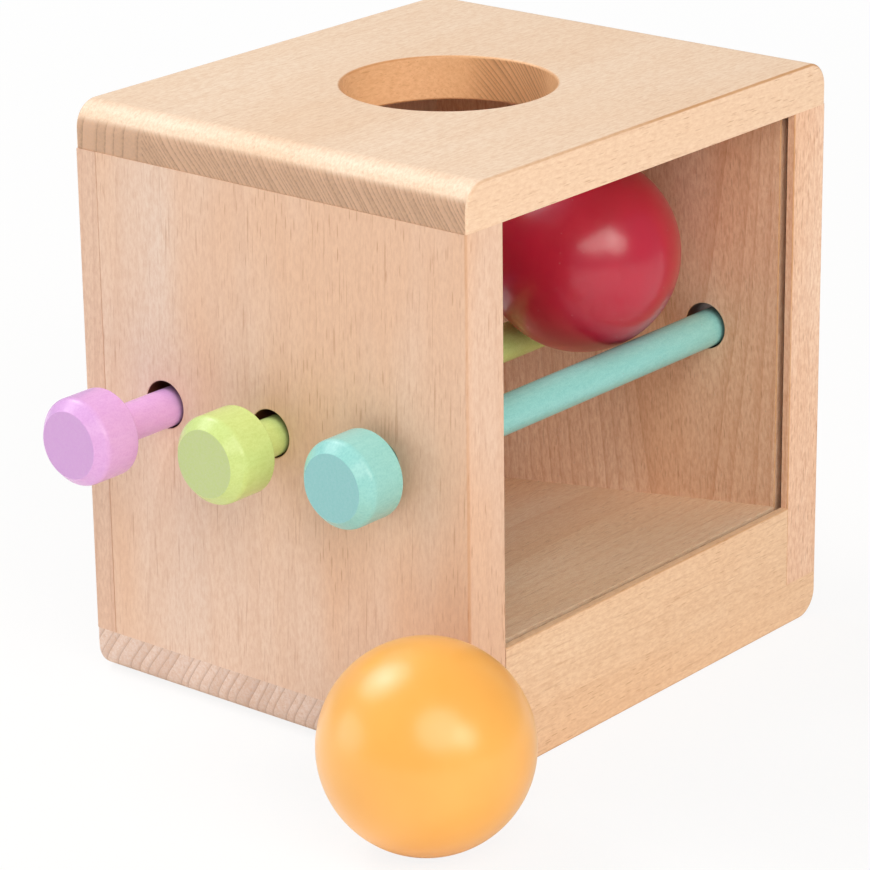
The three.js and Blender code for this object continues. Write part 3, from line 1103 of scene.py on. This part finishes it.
def back_board():
    """The back, with its arched way out."""
    shape = bmesh.new()
    low_y = back_low.y
    spring_z = ARCH_TOP - ARCH_R
    first = shape.verts.new((-ARCH_R, low_y, spring_z))
    swept = bmesh.ops.spin(
        shape,
        geom=[first],
        cent=(0, low_y, spring_z),
        axis=(0, 1, 0),
        dvec=(0, 0, 0),
        angle=math.pi,
        steps=ARCH_STEPS,
        use_merge=False,
    )
    last = [g for g in swept["geom_last"] if isinstance(g, bmesh.types.BMVert)][0]
    rest = [
        shape.verts.new((x, low_y, z))
        for x, z in (
            (ARCH_R, back_low.z),
            (back_high.x, back_low.z),
            (back_high.x, back_high.z),
            (back_low.x, back_high.z),
            (back_low.x, back_low.z),
            (-ARCH_R, back_low.z),
        )
    ]
    loop = [last, *rest, first]
    for a, b in zip(loop, loop[1:]):
        shape.edges.new((a, b))
    filled = bmesh.ops.contextual_create(shape, geom=list(shape.edges))
    grown = bmesh.ops.extrude_face_region(shape, geom=filled["faces"])
    moved = [g for g in grown["geom"] if isinstance(g, bmesh.types.BMVert)]
    bmesh.ops.translate(shape, vec=(0, back_high.y - back_low.y, 0), verts=moved)
    bmesh.ops.recalc_face_normals(shape, faces=shape.faces)
    soften(shape, SMALL_EASE, SMALL_EASE_STEPS, lambda m, d: not runs_along(d, "y"))
    return shape


def front_rail():
    """The rail under the window, with the lip in front of the pane and its two pin bores."""
    lip_y = groove_low_y
    shape = sawn(
        [
            (rail_low.y, rail_low.z),
            (rail_high.y, rail_low.z),
            (rail_high.y, pane_low.z),
            (lip_y, pane_low.z),
            (lip_y, rail_high.z),
            (rail_low.y, rail_high.z),
        ],
        "x",
        rail_low.x,
        rail_high.x,
    )

    def on_top(m, y):
        """Whether an edge lies on the rail's upper face, at a plane in Y."""
        return near(m.y, y) and near(m.z, rail_high.z)

    soften(shape, SMALL_EASE, SMALL_EASE_STEPS, lambda m, d: on_top(m, rail_low.y))
    soften(shape, SMALL_EASE / 2, FINE_STEPS, lambda m, d: on_top(m, lip_y))
    cutters = []
    for side in ("left", "right"):
        pin_low, pin_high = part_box("rail_pin_" + side)
        middle = (pin_low + pin_high) / 2
        if side == "left":
            x0, x1 = rail_low.x - PAST, pin_high.x + PIN_HOLE_END
        else:
            x0, x1 = pin_low.x - PIN_HOLE_END, rail_high.x + PAST
        cutters.append(bore((x0, middle.y, middle.z), "x", PIN_HOLE_R, x1 - x0))
    return carve(shape, cutters)


def ramp_board():
    """The sloping floor, notched over the rail and feathered at the back."""
    end_z = ramp_low.z + RAMP_T - RAMP_LAP
    notch_y = rail_high.y + RAMP_NOTCH
    slope = (ramp_high.z - end_z) / (ramp_high.y - ramp_low.y)
    under_z = ramp_high.z - slope * (notch_y - ramp_low.y) - RAMP_T
    shape = sawn(
        [
            (ramp_low.y, pane_low.z),
            (notch_y, pane_low.z),
            (notch_y, under_z),
            (ramp_high.y - RAMP_LAP / slope, ramp_low.z),
            (ramp_high.y, ramp_low.z),
            (ramp_high.y, end_z),
            (ramp_low.y, ramp_high.z),
        ],
        "x",
        ramp_low.x,
        ramp_high.x,
    )
    soften(shape, JOINT_EASE, FINE_STEPS, lambda m, d: near(m.y, ramp_low.y) and near(m.z, ramp_high.z))
    return shape


def pane_sheet():
    """The clear sheet, with all its edges just broken."""
    shape = plank(pane_low, pane_high)
    soften(shape, PANE_EASE, FINE_STEPS, lambda m, d: True)
    return shape


left_board = side_board("left_board", "left")
right_board = side_board("right_board", "right")
finish_piece("top_board_beech", top_board(), "top_board", "box", beech_top)
finish_piece("bottom_board_beech", bottom_board(), "bottom_board", "box", beech_bottom)
finish_piece("left_board_beech", left_board, "left_board", "box", beech_left)
finish_piece("right_board_beech", right_board, "right_board", "box", beech_right)
finish_piece("back_board_beech", back_board(), "back_board", "box", beech_back)
finish_piece("front_rail_beech", front_rail(), "front_rail", "box", beech_rail)
finish_piece("ramp_board_beech", ramp_board(), "ramp_board", "box", beech_ramp)
finish_piece("front_pane_acrylic", pane_sheet(), "front_pane", "box", clear_acrylic)

for node_name in TOP_PINS + BOTTOM_PINS + ["rail_pin_left", "rail_pin_right"]:
    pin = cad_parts[node_name]
    pin.data.materials.clear()
    pin.data.materials.append(pin_wood)


# Rods and knobs


def rod(node):
    """A rod with a rounded tip."""
    low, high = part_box(node)
    radius = (high.z - low.z) / 2
    length = high.x - low.x
    tip_at = (length - ROD_TIP_R, radius - ROD_TIP_R)
    tip = arc_points(tip_at, ROD_TIP_R, ROD_TIP_R, 90, 0, TIP_STEPS)
    centre = (low + high) / 2
    return turned([(0, 0), (0, radius), *tip, (length, 0)], (low.x, centre.y, centre.z), "x")


def knob(node):
    """A knob with a sloping shoulder, a rounded back and the blind bore for its rod."""
    low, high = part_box(node)
    radius = (high.z - low.z) / 2
    length = high.x - low.x
    flat_r = radius - SHOULDER_R
    centre = (low + high) / 2
    bore_x = length - KNOB_BORE_L
    slope = math.radians(SHOULDER_SLOPE)
    rise = SHOULDER_ROUND * (1 - math.cos(slope))
    shoulder_l = (SHOULDER_R - rise) / math.tan(slope) + SHOULDER_ROUND * math.sin(slope)
    # A small round where the flat end turns into the slope
    cut = SHOULDER_EDGE * math.tan((math.pi / 2 - slope) / 2)
    meet = 90 + SHOULDER_SLOPE
    edge_at = (SHOULDER_EDGE, flat_r - cut)
    edge = arc_points(edge_at, SHOULDER_EDGE, SHOULDER_EDGE, 180, meet, RIM_STEPS)
    shoulder_at = (shoulder_l, radius - SHOULDER_ROUND)
    shoulder = arc_points(shoulder_at, SHOULDER_ROUND, SHOULDER_ROUND, meet, 90, SHOULDER_STEPS)
    back_at = (length - KNOB_BACK_R, radius - KNOB_BACK_R)
    back = arc_points(back_at, KNOB_BACK_R, KNOB_BACK_R, 90, 0, KNOB_BACK_STEPS)
    profile = [
        (0, 0),
        *edge,
        *shoulder,
        *back,
        (length, KNOB_BORE_R),
        (bore_x, KNOB_BORE_R),
        (bore_x, 0),
    ]
    return turned(profile, (low.x, centre.y, centre.z), "x", WIDE_TURN_STEPS)


for colour in RODS:
    body = colour + "_puller"
    rod_node = colour + "_rod"
    knob_node = colour + "_knob"
    finish_piece(rod_node + "_painted", rod(rod_node), rod_node, body, PAINTS[colour])
    finish_piece(knob_node + "_painted", knob(knob_node), knob_node, body, PAINTS[colour])


# Balls


def ball(node):
    """A turned ball with its lathe axis along Y."""
    low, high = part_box(node)
    along_r = (high.y - low.y) / 2
    radius = (high.z - low.z) / 2
    centre = (low + high) / 2
    least = math.degrees(math.asin(POLE_FLAT_R / radius))
    arc = arc_points((0, 0), along_r, radius, 180 - least, least, TURN_STEPS)
    profile = [(arc[0][0], 0), *arc, (arc[-1][0], 0)]
    return turned(profile, centre, "y", BALL_STEPS)


for colour, skin in (("red", red_lacquer), ("orange", orange_lacquer)):
    ball_node = colour + "_ball"
    finish_piece(ball_node + "_lacquered", ball(ball_node), ball_node, ball_node, skin)


# Table, light and camera

scene = bpy.context.scene
scene.view_settings.view_transform = "Standard"

TABLE_HALF = 6.0
SHADOW_NEAR = 0.3  # the table starts to fade into the white room this far out
SHADOW_FAR = 1.0  # and is all white here
SHADOW_WHITE = 0.86  # share of plain white near the box, which leaves the rest for the shadow

floor_shape = bmesh.new()
bmesh.ops.create_grid(floor_shape, x_segments=1, y_segments=1, size=TABLE_HALF)
floor = as_object("table", floor_shape)
table_paint = new_material("matt_white_table")
table_skin = add(
    table_paint,
    "ShaderNodeBsdfPrincipled",
    {"Base Color": linear("#F7F7F6"), "Roughness": 0.9, "Specular IOR Level": 0.1},
)
table_path = add(table_paint, "ShaderNodeLightPath")
table_glow = add(table_paint, "ShaderNodeEmission", {"Color": (1, 1, 1, 1), "Strength": 1.0})
table_where = add(table_paint, "ShaderNodeTexCoord")
table_reach = add(
    table_paint,
    "ShaderNodeVectorMath",
    {0: table_where.outputs["Object"]},
    operation="LENGTH",
)
# The shadow is kept near the box, and the table fades into the white room further out
table_fade = add(
    table_paint,
    "ShaderNodeMapRange",
    {
        "Value": table_reach.outputs["Value"],
        "From Min": SHADOW_NEAR,
        "From Max": SHADOW_FAR,
        "To Min": SHADOW_WHITE,
        "To Max": 1.0,
    },
)
table_share = add(
    table_paint,
    "ShaderNodeMath",
    {0: table_path.outputs["Is Camera Ray"], 1: table_fade.outputs[0]},
    operation="MULTIPLY",
)
table_mix = add(
    table_paint,
    "ShaderNodeMixShader",
    {0: table_share.outputs[0], 1: table_skin.outputs[0], 2: table_glow.outputs[0]},
)
add(table_paint, "ShaderNodeOutputMaterial", {"Surface": table_mix.outputs[0]})
floor.data.materials.append(table_paint)

# The room is white to the camera, and dimmer where it lights the box or shows in its gloss
ROOM_LIGHT = 0.36
world = bpy.data.worlds.new("white_room")
scene.world = world
world.use_nodes = True
world.node_tree.nodes.clear()
path = add(world, "ShaderNodeLightPath")
seen = add(
    world,
    "ShaderNodeMath",
    {0: path.outputs["Is Camera Ray"], 1: path.outputs["Is Transmission Ray"]},
    operation="MAXIMUM",
)
level = add(world, "ShaderNodeMix", {0: seen.outputs[0], 2: ROOM_LIGHT, 3: 1.0})
sky = add(world, "ShaderNodeBackground", {"Color": (1, 1, 1, 1), "Strength": level.outputs[0]})
add(world, "ShaderNodeOutputWorld", {"Surface": sky.outputs[0]})

lit_point = Vector((0, 0, 0.08))


def softbox(name, direction, distance, width, height, power, colour):
    """A round or oval studio light at a distance from the box, turned to its middle."""
    lamp = bpy.data.lights.new(name, "AREA")
    lamp.shape = "ELLIPSE"
    lamp.size = width
    lamp.size_y = height
    lamp.energy = power
    lamp.color = linear(colour)[:3]
    thing = bpy.data.objects.new(name, lamp)
    scene.collection.objects.link(thing)
    towards = Vector(direction).normalized()
    thing.location = lit_point + towards * distance
    thing.rotation_euler = (-towards).to_track_quat("-Z", "Y").to_euler()


softbox("overhead_box", (-0.13, 0.60, 0.79), 1.6, 1.2, 1.2, 9.5, "#FFFEFD")
softbox("small_overhead_box", (-0.13, 0.60, 0.79), 1.6, 0.36, 0.36, 3.4, "#FFFEFD")
softbox("key_box", (-0.12, -0.91, 0.39), 1.8, 0.7, 0.7, 5.6, "#FFF2E6")
softbox("front_box", (-0.45, -0.66, 0.60), 1.8, 1.5, 1.4, 16.5, "#FFF2E6")
softbox("side_box", (-0.66, 0.73, 0.16), 1.8, 1.3, 0.9, 5.4, "#FFFCFB")

CAMERA_LENS = 159.47
CAMERA_PLACE = (-0.74606, -0.61219, 0.40677)
CAMERA_TURN = (70.175, 0.732, -50.498)

camera_data = bpy.data.cameras.new("camera")
camera_data.sensor_width = 36.0
camera_data.lens = CAMERA_LENS
camera_data.clip_end = 20.0
camera = bpy.data.objects.new("camera", camera_data)
scene.collection.objects.link(camera)
camera.location = CAMERA_PLACE
camera.rotation_euler = [math.radians(a) for a in CAMERA_TURN]
scene.camera = camera
